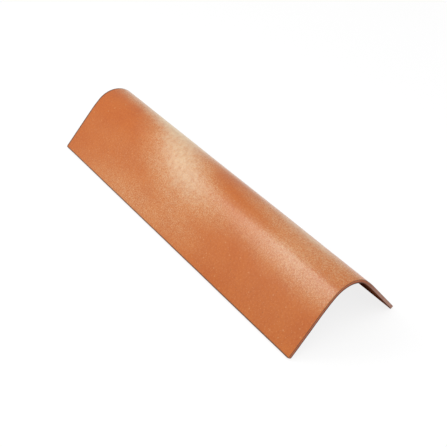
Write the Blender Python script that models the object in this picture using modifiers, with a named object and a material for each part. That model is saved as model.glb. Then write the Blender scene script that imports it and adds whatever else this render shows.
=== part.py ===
"""Ridge cap: one moulded sheet, bent to a rounded inverted V, that covers the line where two roof slopes meet.

The ridge runs along Y, and the cap has the same section all along it. It stands on its two feet, on the plane Z = 0.
"""

from math import cos, radians, sin

import bmesh
import bpy
from mathutils import Vector

# Driving dimensions, in metres and radians
CAP_LENGTH = 0.600
SHEET_THICKNESS = 0.0055
LEG_SLOPE = radians(49.4)  # the straight part of each leg, from the horizontal
LEG_STRAIGHT = 0.0757  # up the outer face, from the foot to where the bend begins
SHOULDER_TURN = radians(5.8)  # the slow start of the bend, between leg and crown
SHOULDER_INNER_RADIUS = 0.2195
CROWN_INNER_RADIUS = 0.0373
CORNER_RADIUS = 0.0030  # the four corners of the sheet, seen flat on
ARRIS_RADIUS = 0.0010  # every cut edge, rubbed down

# Facets of the round parts
CROWN_STEPS = 16
SHOULDER_STEPS = 4
CORNER_STEPS = 3
ARRIS_STEPS = 2

# A cut edge turns by a right angle, and the steps of the round parts by far less.
ARRIS_ANGLE = radians(55)

# What follows from the driving dimensions
CROWN_TURN = LEG_SLOPE - SHOULDER_TURN
CROWN_OUTER_RADIUS = CROWN_INNER_RADIUS + SHEET_THICKNESS
SHOULDER_OUTER_RADIUS = SHOULDER_INNER_RADIUS + SHEET_THICKNESS

# Directions
ALONG_RIDGE = Vector((0.0, 1.0, 0.0))
DOWN_THE_LEG = Vector((-cos(LEG_SLOPE), 0.0, -sin(LEG_SLOPE)))

# The coating: terracotta, satin
COATING_COLOR = (0.578, 0.181, 0.061, 1.0)
COATING_ROUGHNESS = 0.45


def clear_scene():
    for obj in list(bpy.data.objects):
        bpy.data.objects.remove(obj)


def new_collection(name):
    collection = bpy.data.collections.new(name)
    bpy.context.scene.collection.children.link(collection)
    return collection


def coating_material():
    material = bpy.data.materials.new("terracotta_coating")
    material.use_nodes = True
    shader = material.node_tree.nodes["Principled BSDF"]
    shader.inputs["Base Color"].default_value = COATING_COLOR
    shader.inputs["Roughness"].default_value = COATING_ROUGHNESS
    shader.inputs["Metallic"].default_value = 0.0
    return material


def verts_of(geometry):
    return [part for part in geometry if isinstance(part, bmesh.types.BMVert)]


def apex_height():
    """Height of the outer face at the ridge, when the rounded inner edge of each foot touches the plane Z = 0."""
    crown_drop = CROWN_OUTER_RADIUS * (1 - cos(CROWN_TURN))
    shoulder_drop = SHOULDER_OUTER_RADIUS * (cos(CROWN_TURN) - cos(LEG_SLOPE))
    leg_drop = LEG_STRAIGHT * sin(LEG_SLOPE)
    foot_drop = SHEET_THICKNESS * cos(LEG_SLOPE)
    edge_rise = ARRIS_RADIUS * (cos(LEG_SLOPE) + sin(LEG_SLOPE) - 1)
    return crown_drop + shoulder_drop + leg_drop + foot_drop - edge_rise


def draw_arc(bm, start, centre, turn, steps):
    """Draws an arc from the start vertex down towards -X, and gives its last vertex."""
    arc = bmesh.ops.spin(
        bm, geom=[start], cent=centre, axis=ALONG_RIDGE, angle=-turn, steps=steps
    )
    return verts_of(arc["geom_last"])[0]


def draw_half_section(bm):
    """Draws the outer line at one end, from the ridge to the foot on the -X side, and gives the foot's vertex."""
    ridge_point = Vector((0.0, -CAP_LENGTH / 2, apex_height()))
    crown_centre = ridge_point - Vector((0.0, 0.0, CROWN_OUTER_RADIUS))
    ridge = bm.verts.new(ridge_point)
    crown_end = draw_arc(bm, ridge, crown_centre, CROWN_TURN, CROWN_STEPS)

    # The shoulder runs on smoothly, so its centre lies beyond the crown's, on the same line.
    inwards = (crown_centre - crown_end.co).normalized()
    shoulder_centre = crown_end.co + inwards * SHOULDER_OUTER_RADIUS
    shoulder_end = draw_arc(bm, crown_end, shoulder_centre, SHOULDER_TURN, SHOULDER_STEPS)

    foot = bmesh.ops.extrude_vert_indiv(bm, verts=[shoulder_end])["verts"]
    bmesh.ops.translate(bm, verts=foot, vec=LEG_STRAIGHT * DOWN_THE_LEG)
    return foot[0]


def sweep_along_ridge(bm):
    swept = bmesh.ops.extrude_edge_only(bm, edges=list(bm.edges))["geom"]
    bmesh.ops.translate(bm, verts=verts_of(swept), vec=CAP_LENGTH * ALONG_RIDGE)


def round_foot_corners(bm, foot):
    """Rounds the two corners at the ends of the foot."""
    foot_edge = next(edge for edge in foot.link_edges if edge.other_vert(foot).co.y > foot.co.y)
    bmesh.ops.bevel(
        bm,
        geom=list(foot_edge.verts),
        offset=CORNER_RADIUS,
        affect="VERTICES",
        segments=CORNER_STEPS,
        profile=0.5,
        material=-1,
    )


def face_outwards(bm):
    bmesh.ops.recalc_face_normals(bm, faces=list(bm.faces))
    leg = min(bm.faces, key=lambda face: face.calc_center_median().z)
    if leg.normal.z < 0:
        bmesh.ops.reverse_faces(bm, faces=list(bm.faces))


def half_sheet():
    """The outer face of the half on the -X side, open at the ridge and along its cut edges."""
    bm = bmesh.new()
    foot = draw_half_section(bm)
    sweep_along_ridge(bm)
    round_foot_corners(bm, foot)
    face_outwards(bm)
    mesh = bpy.data.meshes.new("ridge_cap")
    bm.to_mesh(mesh)
    bm.free()
    mesh.shade_smooth()
    return mesh


def mirror_across_ridge(cap):
    mirror = cap.modifiers.new("Other half", "MIRROR")
    mirror.use_axis = (True, False, False)
    mirror.use_mirror_merge = True
    mirror.merge_threshold = 0.0001


def give_thickness(cap):
    wall = cap.modifiers.new("Sheet thickness", "SOLIDIFY")
    wall.thickness = SHEET_THICKNESS
    wall.offset = -1.0
    wall.use_even_offset = True
    wall.use_quality_normals = True


def rub_down_edges(cap):
    arris = cap.modifiers.new("Rubbed edges", "BEVEL")
    arris.width = ARRIS_RADIUS
    arris.segments = ARRIS_STEPS
    arris.profile = 0.5
    arris.limit_method = "ANGLE"
    arris.angle_limit = ARRIS_ANGLE
    arris.harden_normals = True


def build_ridge_cap(collection, coating):
    cap = bpy.data.objects.new("ridge_cap", half_sheet())
    cap.data.materials.append(coating)
    collection.objects.link(cap)
    mirror_across_ridge(cap)
    give_thickness(cap)
    rub_down_edges(cap)


def main():
    clear_scene()
    build_ridge_cap(new_collection("Ridge cap"), coating_material())


main()
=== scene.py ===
"""Ridge cap in its finish.

A fibre-cement sheet, bent over a former, spray-coated terracotta and misted with cream.
"""

from collections import namedtuple
from math import cos, e, pi, radians, sin

import bmesh
import bpy
from bpy.props import FloatProperty, FloatVectorProperty, PointerProperty
from bpy.types import Operator, Panel, PropertyGroup
from mathutils import Matrix, Quaternion, Vector, noise


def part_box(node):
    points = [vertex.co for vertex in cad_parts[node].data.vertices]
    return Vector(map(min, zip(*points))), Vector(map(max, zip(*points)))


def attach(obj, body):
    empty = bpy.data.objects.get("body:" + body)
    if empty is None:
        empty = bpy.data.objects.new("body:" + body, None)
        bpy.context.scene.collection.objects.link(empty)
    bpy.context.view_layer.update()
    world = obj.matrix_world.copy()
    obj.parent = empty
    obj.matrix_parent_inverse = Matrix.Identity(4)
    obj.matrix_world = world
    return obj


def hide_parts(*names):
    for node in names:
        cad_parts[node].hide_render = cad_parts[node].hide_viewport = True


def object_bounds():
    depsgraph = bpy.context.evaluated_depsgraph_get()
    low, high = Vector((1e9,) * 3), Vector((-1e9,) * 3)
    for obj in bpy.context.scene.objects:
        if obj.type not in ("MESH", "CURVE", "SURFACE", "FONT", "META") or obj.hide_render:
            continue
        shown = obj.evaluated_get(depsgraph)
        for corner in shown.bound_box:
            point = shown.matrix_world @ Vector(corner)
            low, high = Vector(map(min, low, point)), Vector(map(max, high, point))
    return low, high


bl_info = {
    "name": "Ridge cap",
    "version": (1, 0, 0),
    "blender": (4, 5, 0),
    "location": "View3D > Sidebar > Ridge cap",
    "description": "A coated fibre-cement ridge cap on a plain studio floor",
    "category": "Add Mesh",
}

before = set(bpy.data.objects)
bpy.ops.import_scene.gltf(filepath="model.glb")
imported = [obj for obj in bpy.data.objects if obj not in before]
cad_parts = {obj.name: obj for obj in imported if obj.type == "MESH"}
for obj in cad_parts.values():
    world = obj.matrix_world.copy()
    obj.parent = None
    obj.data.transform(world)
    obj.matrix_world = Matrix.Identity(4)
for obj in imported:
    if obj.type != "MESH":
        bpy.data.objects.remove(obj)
CAD_LOW, CAD_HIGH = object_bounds()
CAP_LOW, CAP_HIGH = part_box("ridge_cap")

MILLIMETRE = 0.001

# The attribute that keeps where each point lay before the sheet was bent
FLAT = "laid_flat"

# The finish that each face of the sheet wears
COATED, UNDERSIDE, CUT = 0, 1, 2

# A cut edge turns by a right angle, and the steps of the rounded corners by far less.
RIM_ANGLE = radians(60)
CORNER_STEPS, ARRIS_STEPS = 6, 4

# The trimmed edges stray in long and short waves, within a reach of the edge, in metres
TRIM_REACH = 6 * MILLIMETRE
LONG_STRAY, SHORT_STRAY = 55 * MILLIMETRE, 13 * MILLIMETRE

# The waves that the sheet keeps from the former: their length across, the factor that draws them out
# along the ridge, and the strip by each foot where they fade
WAVE_LENGTH = 60 * MILLIMETRE
WAVE_ALONG = 0.6
WAVE_FADE = 30 * MILLIMETRE

# Seeds of the steady noise, for the feet, the ends and the waves
FOOT_SEED, END_SEED, WAVE_SEED = 3.1, 8.7, 5.3

# Where the coat is gone and where it is whole again, in millimetres from the foot, near end and far end.
# The darkened band is also painted shade where the rounded edge turns away from the light.
WORN_AND_SHADED_EDGES = ((1.0, 2.8), (0.3, 1.2), (1.6, 4.6))

# Floor of the studio, in metres: its radius, and the gap that keeps it clear of the feet
FLOOR_RADIUS = 12.0
FLOOR_GAP = 0.2 * MILLIMETRE

Softbox = namedtuple("Softbox", "name place width height")

# Softboxes, in metres: the large one overhead, the small one whose shine shows along the bend, and the
# wide dim one beside it, which softens that shine's edge
TOP_SOFTBOX = Softbox("top_softbox", (-0.9, -0.9, 2.7), 2.5, 2.5)
KEY_SOFTBOX = Softbox("key_softbox", (-0.64, 0.44, 0.86), 0.42, 0.58)
HALO_SOFTBOX = Softbox("halo_softbox", (-0.465, 0.502, 0.963), 0.75, 0.75)


def linear(hex_colour):
    """An sRGB hex value as linear red, green and blue."""
    parts = [int(hex_colour[i : i + 2], 16) / 255 for i in (1, 3, 5)]
    return [p / 12.92 if p <= 0.04045 else ((p + 0.055) / 1.055) ** 2.4 for p in parts]


# Settings


def length(name, description, default):
    return FloatProperty(
        name=name,
        description=description,
        default=default,
        min=0.0,
        precision=5,
        subtype="DISTANCE",
        unit="LENGTH",
    )


def angle(name, description, degrees):
    return FloatProperty(
        name=name, description=description, default=radians(degrees), subtype="ANGLE", unit="ROTATION"
    )


def amount(name, description, default, highest):
    return FloatProperty(name=name, description=description, default=default, min=0.0, max=highest)


def colour(name, description, hex_colour):
    return FloatVectorProperty(
        name=name,
        description=description,
        default=linear(hex_colour),
        size=3,
        min=0.0,
        max=1.0,
        subtype="COLOR",
    )


class RidgeCapShape(PropertyGroup):
    """Sizes of the bent sheet."""

    ridge_length: length("Length", "Along the ridge", CAP_HIGH.y - CAP_LOW.y)
    apex_height: length("Height", "From the feet to the top of the ridge", CAP_HIGH.z)
    thickness: length("Sheet thickness", "Through the sheet, square to its face", 5.5 * MILLIMETRE)
    leg_slope: angle("Leg slope", "Straight part of each leg, from the horizontal", 49.4)
    shoulder_turn: angle("Shoulder turn", "Slow start of the bend, between leg and crown", 5.8)
    shoulder_radius: length("Shoulder radius", "Outer radius of the slow bend", 225 * MILLIMETRE)
    crown_radius: length("Crown radius", "Outer radius of the bend at the ridge", 42.8 * MILLIMETRE)
    corner_radius: length("Corner radius", "Corners of the sheet, seen flat on", 3 * MILLIMETRE)
    arris_radius: length("Arris radius", "Rubbed-down cut edges", 1 * MILLIMETRE)
    facet: length("Facet", "Size of the mesh's faces, far below what shows", 3 * MILLIMETRE)
    waviness: length("Waviness", "How far the face strays from true", 0.25 * MILLIMETRE)
    edge_wander: length("Edge wander", "How far the trimmed edge strays inwards", 0.5 * MILLIMETRE)


class RidgeCapFinish(PropertyGroup):
    """Colours and amounts of the finish."""

    terracotta: colour("Terracotta", "Main spray coat", "#C26A2B")
    deep_terracotta: colour("Deep terracotta", "Where the main coat is thickest", "#B65B22")
    cream: colour("Cream", "Mist sprayed over the main coat", "#E2C8A4")
    thin_mist: colour("Thin mist", "Cream that lets the main coat shine through", "#E1BE8B")
    flecks: colour("Flecks", "Stray drops of the cream", "#E3B67E")
    # This colour also paints the dark band along the edges: partly worn coat, partly painted shade where
    # the rounded edge turns away from the light.
    arris: colour("Arris", "Thin coat over the rubbed edges", "#55402F")
    cut_edge: colour("Cut edge", "Stained cut face of the sheet", "#6C3B24")
    overspray: colour("Overspray", "Coat that ran over onto the cut face", "#C2663A")
    pale_edge: colour("Pale edge", "Cement that shows through on the cut face", "#A98070")
    # The sealer and cement colours are darkened almost to black: painted shade of the hollow under the
    # arch.
    sealer_and_shade: colour("Sealer", "Thin red-brown wash on the underside", "#2C0F08")
    cement: colour("Cement", "Sheet that shows through the wash", "#3A241A")
    bloom: colour("Bloom", "Faint dust on the coat, seen at a slant", "#CFC4B4")


class RidgeCapStage(PropertyGroup):
    """Camera and light."""

    azimuth: angle("Azimuth", "Camera's turn round the cap, 0 looking along the ridge", -38.38)
    elevation: angle("Elevation", "Camera's angle above the floor", 36.03)
    roll: angle("Roll", "Camera's turn about its own line of sight", 4.35)
    distance: length("Distance", "From the camera to the point it looks at", 1.2290)
    target: FloatVectorProperty(
        name="Target",
        description="Point that the camera looks at",
        default=(-0.0453, -0.0851, 0.0632),
        size=3,
        precision=4,
        subtype="TRANSLATION",
        unit="LENGTH",
    )
    lens: FloatProperty(
        name="Lens",
        description="Focal length on a 36 mm sensor",
        default=70.0,
        unit="CAMERA",
    )
    floor: colour("Floor", "Opal panel of the floor, unlit", "#7C7C7C")
    floor_glow: amount("Floor glow", "Strength of the white light from inside the floor", 0.82, 4.0)
    surround: amount("Surround", "Strength of the light from all round", 0.64, 4.0)
    top: amount("Top", "Power of the large softbox overhead, in watts", 25.5, 500.0)
    key: amount("Key", "Power of the small softbox, in watts", 3.0, 100.0)
    halo: amount("Halo", "Power of the wide dim softbox, in watts", 0.9, 100.0)


# The bent sheet


class Section:
    """The outer line of the bent sheet, followed from the ridge down one leg."""

    def __init__(self, shape):
        self.crown_turn = shape.leg_slope - shape.shoulder_turn
        self.slope = shape.leg_slope
        self.crown_radius = shape.crown_radius
        self.shoulder_radius = shape.shoulder_radius
        self.crown_length = self.crown_radius * self.crown_turn
        self.shoulder_length = self.shoulder_radius * shape.shoulder_turn
        self.apex = shape.apex_height

        crown_drop = self.crown_radius * (1 - cos(self.crown_turn))
        shoulder_drop = self.shoulder_radius * (cos(self.crown_turn) - cos(self.slope))
        foot_drop = shape.thickness * cos(self.slope)
        edge_rise = shape.arris_radius * (cos(self.slope) + sin(self.slope) - 1)
        leg_drop = self.apex - crown_drop - shoulder_drop - foot_drop + edge_rise
        if leg_drop <= 0:
            raise ValueError("the bend alone is higher than the cap: lower its radii or its slope")
        self.leg_length = leg_drop / sin(self.slope)
        self.half_width = self.crown_length + self.shoulder_length + self.leg_length

    def at(self, distance, depth):
        """X and Z of a point, by its distance from the ridge along the outer face and its depth."""
        turn = min(distance / self.crown_radius, self.crown_turn)
        x = self.crown_radius * sin(turn)
        z = self.apex - self.crown_radius * (1 - cos(turn))
        past_crown = distance - self.crown_length
        if past_crown > 0:
            easing = min(past_crown / self.shoulder_radius, self.slope - self.crown_turn)
            x += self.shoulder_radius * (sin(turn + easing) - sin(turn))
            z -= self.shoulder_radius * (cos(turn) - cos(turn + easing))
            turn += easing
        past_shoulder = max(past_crown - self.shoulder_length, 0.0)
        x += past_shoulder * cos(self.slope)
        z -= past_shoulder * sin(self.slope)
        return x - depth * sin(turn), z - depth * cos(turn)


def flat_blank(shape, section):
    """The trimmed sheet before bending: X across, Y along the ridge, the coated face at Z = 0."""
    bm = bmesh.new()
    size = Matrix.Diagonal((2 * section.half_width, shape.ridge_length, shape.thickness, 1.0))
    bmesh.ops.create_cube(bm, size=1.0, matrix=Matrix.Translation((0, 0, -shape.thickness / 2)) @ size)
    upright = shape.thickness / 2
    corners = [edge for edge in bm.edges if abs(edge.verts[0].co.z - edge.verts[1].co.z) > upright]
    round_edges(bm, corners, shape.corner_radius, CORNER_STEPS)
    rims = [edge for edge in bm.edges if edge.calc_face_angle() > RIM_ANGLE]
    round_edges(bm, rims, shape.arris_radius, ARRIS_STEPS)
    cut_into_facets(bm, Vector((1, 0, 0)), section.half_width, shape.facet)
    cut_into_facets(bm, Vector((0, 1, 0)), shape.ridge_length / 2, shape.facet)
    return bm


def round_edges(bm, edges, radius, segments):
    bmesh.ops.bevel(
        bm,
        geom=edges,
        offset=radius,
        affect="EDGES",
        segments=segments,
        profile=0.5,
        material=-1,
    )


def cut_into_facets(bm, direction, half, facet):
    """Cuts the mesh across a direction into even strips of about the size of a facet."""
    strips = 2 * round(half / facet)
    for index in range(1, strips):
        bmesh.ops.bisect_plane(
            bm,
            geom=bm.verts[:] + bm.edges[:] + bm.faces[:],
            dist=1e-6,
            plane_co=direction * half * (2 * index / strips - 1),
            plane_no=direction,
        )


def sort_faces(bm):
    """Gives each face of the flat sheet its finish, by the way that it faces."""
    for face in bm.faces:
        face.normal_update()
        if face.normal.z > 0.5:
            face.material_index = COATED
        elif face.normal.z < -0.5:
            face.material_index = UNDERSIDE
        else:
            face.material_index = CUT


def keep_flat_places(bm):
    """Stores where each point lies on the flat sheet, with its depth below the coated face."""
    layer = bm.verts.layers.float_vector.new(FLAT)
    for vert in bm.verts:
        vert[layer] = Vector((vert.co.x, vert.co.y, -vert.co.z))


def steady_noise(point, wavelength, seed):
    """Smooth noise from -1 to 1 that repeats each run."""
    return noise.noise(point / wavelength + Vector((seed, seed, seed)))


def trim_by_hand(bm, shape, section):
    """Lets the trimmed edges stray inwards by a fraction of a millimetre, as a hand trim does."""
    edges = ((0, section.half_width, FOOT_SEED), (1, shape.ridge_length / 2, END_SEED))
    for vert in bm.verts:
        across, along = vert.co.x, vert.co.y
        for axis, half, seed in edges:
            side = 1 if vert.co[axis] > 0 else -1
            near = max(0.0, 1 - (half - abs(vert.co[axis])) / TRIM_REACH)
            if near == 0.0:
                continue
            place = Vector((across, along, side * half))
            stray = 0.5 + 0.35 * steady_noise(place, LONG_STRAY, seed)
            stray += 0.25 * steady_noise(place, SHORT_STRAY, seed)
            vert.co[axis] -= side * shape.edge_wander * stray * near


def bend(bm, shape, section):
    """Bends the flat sheet over the ridge, with the slight waves that it keeps from the former."""
    layer = bm.verts.layers.float_vector[FLAT]
    for vert in bm.verts:
        across, along, depth = vert.co.x, vert.co.y, -vert.co.z
        wave = steady_noise(Vector((across, along * WAVE_ALONG, 0.0)), WAVE_LENGTH, WAVE_SEED)
        wave *= shape.waviness * min(1.0, (section.half_width - abs(vert[layer].x)) / WAVE_FADE)
        x, z = section.at(abs(across), depth - wave)
        vert.co = Vector((x if across >= 0 else -x, along, z))


def bent_sheet(shape):
    section = Section(shape)
    bm = flat_blank(shape, section)
    sort_faces(bm)
    keep_flat_places(bm)
    trim_by_hand(bm, shape, section)
    bend(bm, shape, section)
    bmesh.ops.recalc_face_normals(bm, faces=bm.faces)
    mesh = bpy.data.meshes.new("bent_sheet")
    bm.to_mesh(mesh)
    bm.free()
    mesh.shade_smooth()
    return mesh, section


# Finishes


def add_node(tree, kind, inputs=None, **settings):
    """Adds a shader node with its settings, and gives its inputs a value or a link each."""
    made = tree.nodes.new("ShaderNode" + kind)
    for name, value in settings.items():
        setattr(made, name, value)
    for key, value in (inputs or {}).items():
        if isinstance(value, bpy.types.NodeSocket):
            tree.links.new(value, made.inputs[key])
        else:
            made.inputs[key].default_value = value
    return made


def new_material(name):
    """An empty material, its node tree, and its shader already linked to the output."""
    material = bpy.data.materials.new(name)
    material.use_nodes = True
    tree = material.node_tree
    tree.nodes.clear()
    shader = add_node(tree, "BsdfPrincipled")
    add_node(tree, "OutputMaterial", {"Surface": shader.outputs[0]})
    return material, tree, shader


def rgba(three):
    return (*three, 1.0)


def blend_colours(tree, factor, first, second):
    """Socket of the mix of two colours, each a socket or a plain colour."""
    ends = [c if isinstance(c, bpy.types.NodeSocket) else rgba(c) for c in (first, second)]
    return add_node(tree, "Mix", {0: factor, 6: ends[0], 7: ends[1]}, data_type="RGBA").outputs[2]


def calculate(tree, operation, *values):
    return add_node(tree, "Math", dict(enumerate(values)), operation=operation).outputs[0]


def combine_vectors(tree, operation, inputs):
    return add_node(tree, "VectorMath", inputs, operation=operation).outputs[0]


def ramp(tree, value, low, high, to_low=0.0, to_high=1.0):
    """Socket that runs smoothly from to_low to to_high as the value runs from low to high."""
    inputs = {"Value": value, "From Min": low, "From Max": high, "To Min": to_low, "To Max": to_high}
    return add_node(tree, "MapRange", inputs, interpolation_type="SMOOTHSTEP").outputs[0]


def noise_at(tree, place, grain, detail=2.0, roughness=0.5):
    """Noise texture whose lumps are about one grain across, in metres."""
    inputs = {"Vector": place, "Scale": 1 / grain, "Detail": detail, "Roughness": roughness}
    return add_node(tree, "TexNoise", inputs)


def laid_flat(tree):
    return add_node(tree, "Attribute", attribute_name=FLAT).outputs["Vector"]


def distances_to_edges(tree, flat, section, shape):
    """Sockets of the distances to the nearer foot, to the near end and to the far end, in metres."""
    parts = add_node(tree, "SeparateXYZ", {0: flat}).outputs
    foot = calculate(tree, "SUBTRACT", section.half_width, calculate(tree, "ABSOLUTE", parts["X"]))
    near_end = calculate(tree, "ADD", shape.ridge_length / 2, parts["Y"])
    far_end = calculate(tree, "SUBTRACT", shape.ridge_length / 2, parts["Y"])
    return foot, near_end, far_end


Puff = namedtuple("Puff", "across along half_across half_along turn strength")

# Cream mist, one pass of the spray gun each: its middle, half sizes and turn on the sheet laid flat, in
# millimetres and degrees, and its strength. Across is negative on the left leg. The last two passes are
# on the right leg, and were made up. The others were fitted by least squares to the cream that the
# photograph shows, and rounded.
# Just right of the ridge, where the face turns away at a slant, the passes also paint in part of the pale
# sheen seen there.
PUFFS = (
    Puff(38, 165, 46, 328, 1, 0.75),
    Puff(-6, 68, 50, 219, -20, 0.54),
    Puff(-116, 94, 50, 269, 3, 0.24),
    Puff(-36, -230, 43, 242, -1, 0.29),
    Puff(3, -192, 24, 253, -2, 0.30),
    Puff(-39, 76, 56, 186, -23, 0.30),
    Puff(22, -192, 20, 188, -2, 0.57),
    Puff(-61, 97, 46, 322, 5, 0.11),
    Puff(-101, -219, 74, 200, 2, 0.05),
    Puff(-24, -200, 20, 72, -1, 0.16),
    Puff(78, -60, 50, 150, 10, 0.40),
    Puff(98, 190, 45, 120, -12, 0.30),
)


def mist(tree, flat):
    """Socket of the share of the main coat that the cream mist hides, with ragged edges to each puff."""
    raggedness = 9 * MILLIMETRE
    drift = noise_at(tree, flat, 26 * MILLIMETRE, detail=4.0).outputs["Color"]
    centred = combine_vectors(tree, "SUBTRACT", {0: drift, 1: (0.5, 0.5, 0.5)})
    scaled = combine_vectors(tree, "SCALE", {0: centred, "Scale": 2 * raggedness})
    ragged = combine_vectors(tree, "ADD", {0: flat, 1: scaled})
    total = 0.0
    for puff in PUFFS:
        inputs = {
            "Vector": ragged,
            "Location": (puff.across * MILLIMETRE, puff.along * MILLIMETRE, 0.0),
            "Rotation": (0.0, 0.0, radians(puff.turn)),
            "Scale": (puff.half_across * MILLIMETRE, puff.half_along * MILLIMETRE, 1.0),
        }
        mapped = add_node(tree, "Mapping", inputs, vector_type="TEXTURE").outputs[0]
        ball = add_node(tree, "TexGradient", {0: mapped}, gradient_type="SPHERICAL").outputs["Fac"]
        total = calculate(tree, "ADD", ramp(tree, ball, 0.0, 1.0, 0.0, puff.strength), total)
    return total


def drops(tree, flat, spacing, covered, softness=0.12):
    """Socket that is 1 on round drops, about one spacing apart, that together hide a share of the face.

    Where drops fall at random, the share left bare is exp(-pi r r), with the radius r in spacings."""
    inputs = {"Vector": flat, "Scale": 1 / spacing, "Randomness": 1.0}
    cells = add_node(tree, "TexVoronoi", inputs, voronoi_dimensions="2D", feature="F1").outputs
    bare = calculate(tree, "SUBTRACT", 1.0, calculate(tree, "MINIMUM", covered, 0.9))
    squared = calculate(tree, "MULTIPLY", calculate(tree, "LOGARITHM", bare, e), -1 / pi)
    radius = calculate(tree, "SQRT", squared)
    inside = calculate(tree, "SUBTRACT", radius, cells["Distance"])
    return ramp(tree, inside, -softness, softness)


def stray_drops(tree, flat, spacing, chance, radius):
    """Socket that is 1 on lone drops, each in a cell of one spacing, in the given share of the cells."""
    inputs = {"Vector": flat, "Scale": 1 / spacing, "Randomness": 1.0}
    cells = add_node(tree, "TexVoronoi", inputs, voronoi_dimensions="2D", feature="F1").outputs
    lot = add_node(tree, "SeparateColor", {0: cells["Color"]}).outputs
    size = ramp(tree, lot["Red"], 0.0, 1.0, 0.4 * radius / spacing, radius / spacing)
    inside = calculate(tree, "SUBTRACT", size, cells["Distance"])
    disc = ramp(tree, inside, 0.0, 0.5 * radius / spacing)
    return calculate(tree, "MULTIPLY", disc, calculate(tree, "LESS_THAN", lot["Green"], chance))


def spray_coated_face(finish, shape, section):
    """Satin acrylic coat, sprayed on fibre cement: an even orange-brown with a faint pebbled gloss.

    Cream drops were misted over it by hand, in drifts that run together where they are thick."""
    material, tree, shader = new_material("spray_coated_terracotta")
    flat = laid_flat(tree)
    clots = noise_at(tree, flat, 9 * MILLIMETRE).outputs["Fac"]
    density = calculate(tree, "MULTIPLY", mist(tree, flat), ramp(tree, clots, 0.3, 0.7, 0.85, 1.15))

    tone = noise_at(tree, flat, 45 * MILLIMETRE, detail=4.0).outputs["Fac"]
    mottle = noise_at(tree, flat, 3.5 * MILLIMETRE).outputs["Fac"]
    patchy = calculate(tree, "MULTIPLY_ADD", mottle, 0.8, calculate(tree, "MULTIPLY", tone, 0.6))
    coat = blend_colours(tree, ramp(tree, patchy, 0.4, 1.0), finish.terracotta, finish.deep_terracotta)

    # Most real drops are 0.3 to 1 mm. These are drawn three to four times as large, so that they show
    # from a step away. Where the mist is thick its drops run together, so grain and single drops fade out.
    grain = noise_at(tree, flat, 3.0 * MILLIMETRE).outputs["Fac"]
    gaps = ramp(tree, density, 0.30, 0.75, 0.44, 0.92)
    haze = calculate(tree, "MULTIPLY", density, ramp(tree, grain, 0.3, 0.7, gaps, 1.1))
    thinning = ramp(tree, density, 0.1, 0.7, 0.45, 0.04)
    fine = drops(tree, flat, 2.6 * MILLIMETRE, calculate(tree, "MULTIPLY", density, thinning))
    few = calculate(tree, "MULTIPLY_ADD", density, 0.14, 0.005)
    coarse = drops(tree, flat, 5.0 * MILLIMETRE, few, softness=0.05)
    lone = stray_drops(tree, flat, 9.0 * MILLIMETRE, 0.17, 1.5 * MILLIMETRE)
    dark = stray_drops(tree, flat, 12.0 * MILLIMETRE, 0.20, 1.2 * MILLIMETRE)
    mist_colour = blend_colours(tree, ramp(tree, density, 0.1, 0.6), finish.thin_mist, finish.cream)
    misted = blend_colours(tree, haze, coat, mist_colour)
    fine_shows = calculate(tree, "MULTIPLY", fine, ramp(tree, density, 0.02, 0.3, 0.05, 0.68))
    specked = blend_colours(tree, fine_shows, misted, mist_colour)
    dotted = blend_colours(tree, calculate(tree, "MULTIPLY", coarse, 0.45), specked, finish.flecks)
    flecked = blend_colours(tree, calculate(tree, "MULTIPLY", lone, 0.26), dotted, finish.flecks)
    pitted = blend_colours(tree, calculate(tree, "MULTIPLY", dark, 0.25), flecked, finish.arris)

    # The coat pulled back from the edges, most at the far end, with painted shade where the rounded edge
    # turns away from the light.
    distances = distances_to_edges(tree, flat, section, shape)
    worn_and_shaded = 0.0
    for distance, (darkest_to, clear_from) in zip(distances, WORN_AND_SHADED_EDGES):
        thin = ramp(tree, distance, darkest_to * MILLIMETRE, clear_from * MILLIMETRE, 0.90, 0.0)
        worn_and_shaded = calculate(tree, "MAXIMUM", thin, worn_and_shaded)
    coloured = blend_colours(tree, worn_and_shaded, pitted, finish.arris)

    pebble = noise_at(tree, flat, 1.4 * MILLIMETRE, detail=1.0).outputs["Fac"]
    relief = calculate(tree, "MULTIPLY_ADD", fine, 0.2, pebble)
    bump = add_node(tree, "Bump", {"Height": relief, "Strength": 0.35, "Distance": 0.12 * MILLIMETRE})
    tree.links.new(bump.outputs[0], shader.inputs["Normal"])
    tree.links.new(coloured, shader.inputs["Base Color"])
    tree.links.new(ramp(tree, density, 0.0, 1.0, 0.25, 0.35), shader.inputs["Roughness"])
    shader.inputs["IOR"].default_value = 1.45
    shader.inputs["Sheen Weight"].default_value = 0.05
    shader.inputs["Sheen Roughness"].default_value = 0.3
    shader.inputs["Sheen Tint"].default_value = rgba(finish.bloom)
    return material


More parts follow.
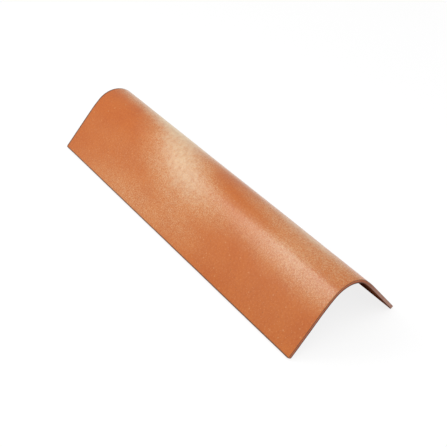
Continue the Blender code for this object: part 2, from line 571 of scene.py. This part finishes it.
def sealed_and_shaded_underside(finish, shape, section):
    """Fibre cement as it left the former, under a thin red-brown wash: dull, cloudy, faintly fibrous, and
    darkened almost to black as painted shade under the arch.
    """
    material, tree, shader = new_material("sealed_and_shaded_fibre_cement")
    flat = laid_flat(tree)
    clouds = noise_at(tree, flat, 35 * MILLIMETRE, detail=5.0, roughness=0.6).outputs["Fac"]
    stretched = add_node(tree, "Mapping", {"Vector": flat, "Scale": (1.0, 0.08, 1.0)}).outputs[0]
    fibres = noise_at(tree, stretched, 1.6 * MILLIMETRE, detail=3.0).outputs["Fac"]
    foot, near_end, far_end = distances_to_edges(tree, flat, section, shape)
    edge = calculate(tree, "MINIMUM", foot, calculate(tree, "MINIMUM", near_end, far_end))
    reached = ramp(tree, edge, 0.0, 30 * MILLIMETRE, 0.25, 0.0)
    overspray = calculate(tree, "MULTIPLY", reached, clouds)
    cloudy = blend_colours(tree, ramp(tree, clouds, 0.4, 0.68), finish.sealer_and_shade, finish.cement)
    streaked = blend_colours(tree, ramp(tree, fibres, 0.5, 0.8, 0.0, 0.35), cloudy, finish.cement)
    sprayed = blend_colours(tree, overspray, streaked, finish.deep_terracotta)
    bump = add_node(tree, "Bump", {"Height": fibres, "Strength": 0.4, "Distance": 0.3 * MILLIMETRE})
    tree.links.new(bump.outputs[0], shader.inputs["Normal"])
    tree.links.new(sprayed, shader.inputs["Base Color"])
    tree.links.new(ramp(tree, clouds, 0.3, 0.7, 0.75, 0.9), shader.inputs["Roughness"])
    shader.inputs["Specular IOR Level"].default_value = 0.0
    return material


def stained_cut_edge(finish):
    """Sawn edge of laminated fibre cement: brown and matt, with darker plies showing.

    The coat ran over its outer side, and least on the right leg, where pale cement is left bare. The
    underside's dark wash seeped over its inner side, which is also darkened as painted shade of the inner
    arris."""
    material, tree, shader = new_material("cut_fibre_cement")
    flat = laid_flat(tree)
    along_plies = add_node(tree, "Mapping", {"Vector": flat, "Scale": (0.06, 0.06, 1.0)}).outputs[0]
    plies = noise_at(tree, along_plies, 0.8 * MILLIMETRE).outputs["Fac"]
    clouds = noise_at(tree, flat, 12 * MILLIMETRE, detail=4.0).outputs["Fac"]
    place = add_node(tree, "SeparateXYZ", {0: flat}).outputs
    across, depth = place["X"], place["Z"]
    right = ramp(tree, across, 0.0, 100 * MILLIMETRE)
    bare = calculate(tree, "MULTIPLY", ramp(tree, clouds, 0.2, 0.6, 0.6, 1.0), right)
    cement = blend_colours(tree, bare, finish.cut_edge, finish.pale_edge)

    run_over = ramp(tree, depth, 0.5 * MILLIMETRE, 4.5 * MILLIMETRE, 0.9, 0.2)
    reached = ramp(tree, across, 5 * MILLIMETRE, 60 * MILLIMETRE, 1.0, 0.15)
    overspray = calculate(tree, "MULTIPLY", run_over, reached)
    sprayed = blend_colours(tree, overspray, cement, finish.overspray)

    # The inner side of the cut face is darkened: partly the underside's wash, partly painted shade of the
    # inner arris.
    seep_and_shade_from = ramp(tree, across, 0.0, 40 * MILLIMETRE, 3.0 * MILLIMETRE, 4.1 * MILLIMETRE)
    seeped = ramp(tree, calculate(tree, "SUBTRACT", depth, seep_and_shade_from), 0.0, 0.8 * MILLIMETRE)
    wash = calculate(tree, "MULTIPLY", seeped, calculate(tree, "MULTIPLY_ADD", right, 0.2, 0.8))
    washed_and_shaded = blend_colours(tree, wash, sprayed, finish.sealer_and_shade)
    streaked = blend_colours(tree, ramp(tree, plies, 0.5, 0.75, 0.0, 0.3), washed_and_shaded, finish.arris)
    bump = add_node(tree, "Bump", {"Height": plies, "Strength": 0.4, "Distance": 0.2 * MILLIMETRE})
    tree.links.new(bump.outputs[0], shader.inputs["Normal"])
    tree.links.new(streaked, shader.inputs["Base Color"])
    shader.inputs["Roughness"].default_value = 0.8
    return material


# Operators


class RIDGECAP_OT_bend_sheet(Operator):
    """Model the bent sheet and give its coated face, underside and cut edges their finishes"""

    bl_idname = "ridge_cap.bend_sheet"
    bl_label = "Ridge cap"
    bl_options = {"REGISTER", "UNDO"}

    def execute(self, context):
        shape = context.scene.ridge_cap_shape
        finish = context.scene.ridge_cap_finish
        mesh, section = bent_sheet(shape)
        mesh.materials.append(spray_coated_face(finish, shape, section))
        mesh.materials.append(sealed_and_shaded_underside(finish, shape, section))
        mesh.materials.append(stained_cut_edge(finish))
        cap = bpy.data.objects.new("bent_sheet", mesh)
        context.scene.collection.objects.link(cap)
        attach(cap, "root")
        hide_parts("ridge_cap")
        return {"FINISHED"}


def lit_opal_panel(stage):
    """Opal acrylic panel with lamps behind it: an even, dull white with no shine."""
    material, _, shader = new_material("lit_opal_floor")
    shader.inputs["Base Color"].default_value = rgba(stage.floor)
    shader.inputs["Roughness"].default_value = 0.9
    shader.inputs["Specular IOR Level"].default_value = 0.0
    shader.inputs["Emission Color"].default_value = rgba(linear("#FFFFFF"))
    shader.inputs["Emission Strength"].default_value = stage.floor_glow
    return material


def add_floor(stage):
    """Matt studio floor, lit from within so that shadows stay light, and wide enough to seem endless."""
    bm = bmesh.new()
    bmesh.ops.create_circle(bm, cap_ends=True, radius=FLOOR_RADIUS, segments=96)
    bmesh.ops.translate(bm, verts=bm.verts, vec=(0.0, 0.0, CAD_LOW.z - FLOOR_GAP))
    mesh = bpy.data.meshes.new("studio_floor")
    bm.to_mesh(mesh)
    bm.free()
    mesh.materials.append(lit_opal_panel(stage))
    floor = bpy.data.objects.new("studio_floor", mesh)
    bpy.context.scene.collection.objects.link(floor)


def add_softbox(softbox, aim, power):
    data = bpy.data.lights.new(softbox.name, "AREA")
    data.shape = "RECTANGLE"
    data.size = softbox.width
    data.size_y = softbox.height
    data.energy = power
    lamp = bpy.data.objects.new(softbox.name, data)
    lamp.location = softbox.place
    lamp.rotation_mode = "QUATERNION"
    lamp.rotation_quaternion = (Vector(softbox.place) - aim).to_track_quat("Z", "Y")
    bpy.context.scene.collection.objects.link(lamp)


def add_surround(stage):
    world = bpy.data.worlds.new("studio_surround")
    world.use_nodes = True
    background = world.node_tree.nodes["Background"]
    background.inputs["Color"].default_value = rgba(linear("#FFFFFF"))
    background.inputs["Strength"].default_value = stage.surround
    bpy.context.scene.world = world


def add_camera(stage):
    data = bpy.data.cameras.new("camera")
    data.sensor_width = 36.0
    data.lens = stage.lens
    camera = bpy.data.objects.new("camera", data)
    back = Vector(
        (
            sin(stage.azimuth) * cos(stage.elevation),
            -cos(stage.azimuth) * cos(stage.elevation),
            sin(stage.elevation),
        )
    )
    camera.location = Vector(stage.target) + back * stage.distance
    camera.rotation_mode = "QUATERNION"
    camera.rotation_quaternion = back.to_track_quat("Z", "Y") @ Quaternion((0, 0, 1), stage.roll)
    bpy.context.scene.collection.objects.link(camera)
    bpy.context.scene.camera = camera


class RIDGECAP_OT_set_stage(Operator):
    """Set the plain floor, the soft studio light and the camera"""

    bl_idname = "ridge_cap.set_stage"
    bl_label = "Stage"
    bl_options = {"REGISTER", "UNDO"}

    def execute(self, context):
        stage = context.scene.ridge_cap_stage
        middle = (CAP_LOW + CAP_HIGH) / 2
        add_floor(stage)
        add_surround(stage)
        add_softbox(TOP_SOFTBOX, middle, stage.top)
        add_softbox(KEY_SOFTBOX, middle, stage.key)
        add_softbox(HALO_SOFTBOX, middle, stage.halo)
        add_camera(stage)
        context.scene.view_settings.view_transform = "Standard"
        return {"FINISHED"}


class RIDGECAP_PT_sidebar(Panel):
    """Lists the settings, and one button for each thing that they shape"""

    bl_idname = "RIDGECAP_PT_sidebar"
    bl_label = "Ridge cap"
    bl_space_type = "VIEW_3D"
    bl_region_type = "UI"
    bl_category = "Ridge cap"

    def draw(self, context):
        scene = context.scene
        parts = (
            (scene.ridge_cap_shape, None),
            (scene.ridge_cap_finish, RIDGECAP_OT_bend_sheet),
            (scene.ridge_cap_stage, RIDGECAP_OT_set_stage),
        )
        for settings, operator in parts:
            box = self.layout.box()
            for name in settings.__annotations__:
                box.prop(settings, name)
            if operator:
                box.operator(operator.bl_idname)


CLASSES = (
    RidgeCapShape,
    RidgeCapFinish,
    RidgeCapStage,
    RIDGECAP_OT_bend_sheet,
    RIDGECAP_OT_set_stage,
    RIDGECAP_PT_sidebar,
)


def register():
    for made in CLASSES:
        bpy.utils.register_class(made)
    bpy.types.Scene.ridge_cap_shape = PointerProperty(type=RidgeCapShape)
    bpy.types.Scene.ridge_cap_finish = PointerProperty(type=RidgeCapFinish)
    bpy.types.Scene.ridge_cap_stage = PointerProperty(type=RidgeCapStage)


def unregister():
    del bpy.types.Scene.ridge_cap_stage
    del bpy.types.Scene.ridge_cap_finish
    del bpy.types.Scene.ridge_cap_shape
    for made in reversed(CLASSES):
        bpy.utils.unregister_class(made)


def main():
    register()
    bpy.ops.ridge_cap.bend_sheet()
    bpy.ops.ridge_cap.set_stage()


if __name__ == "__main__":
    main()
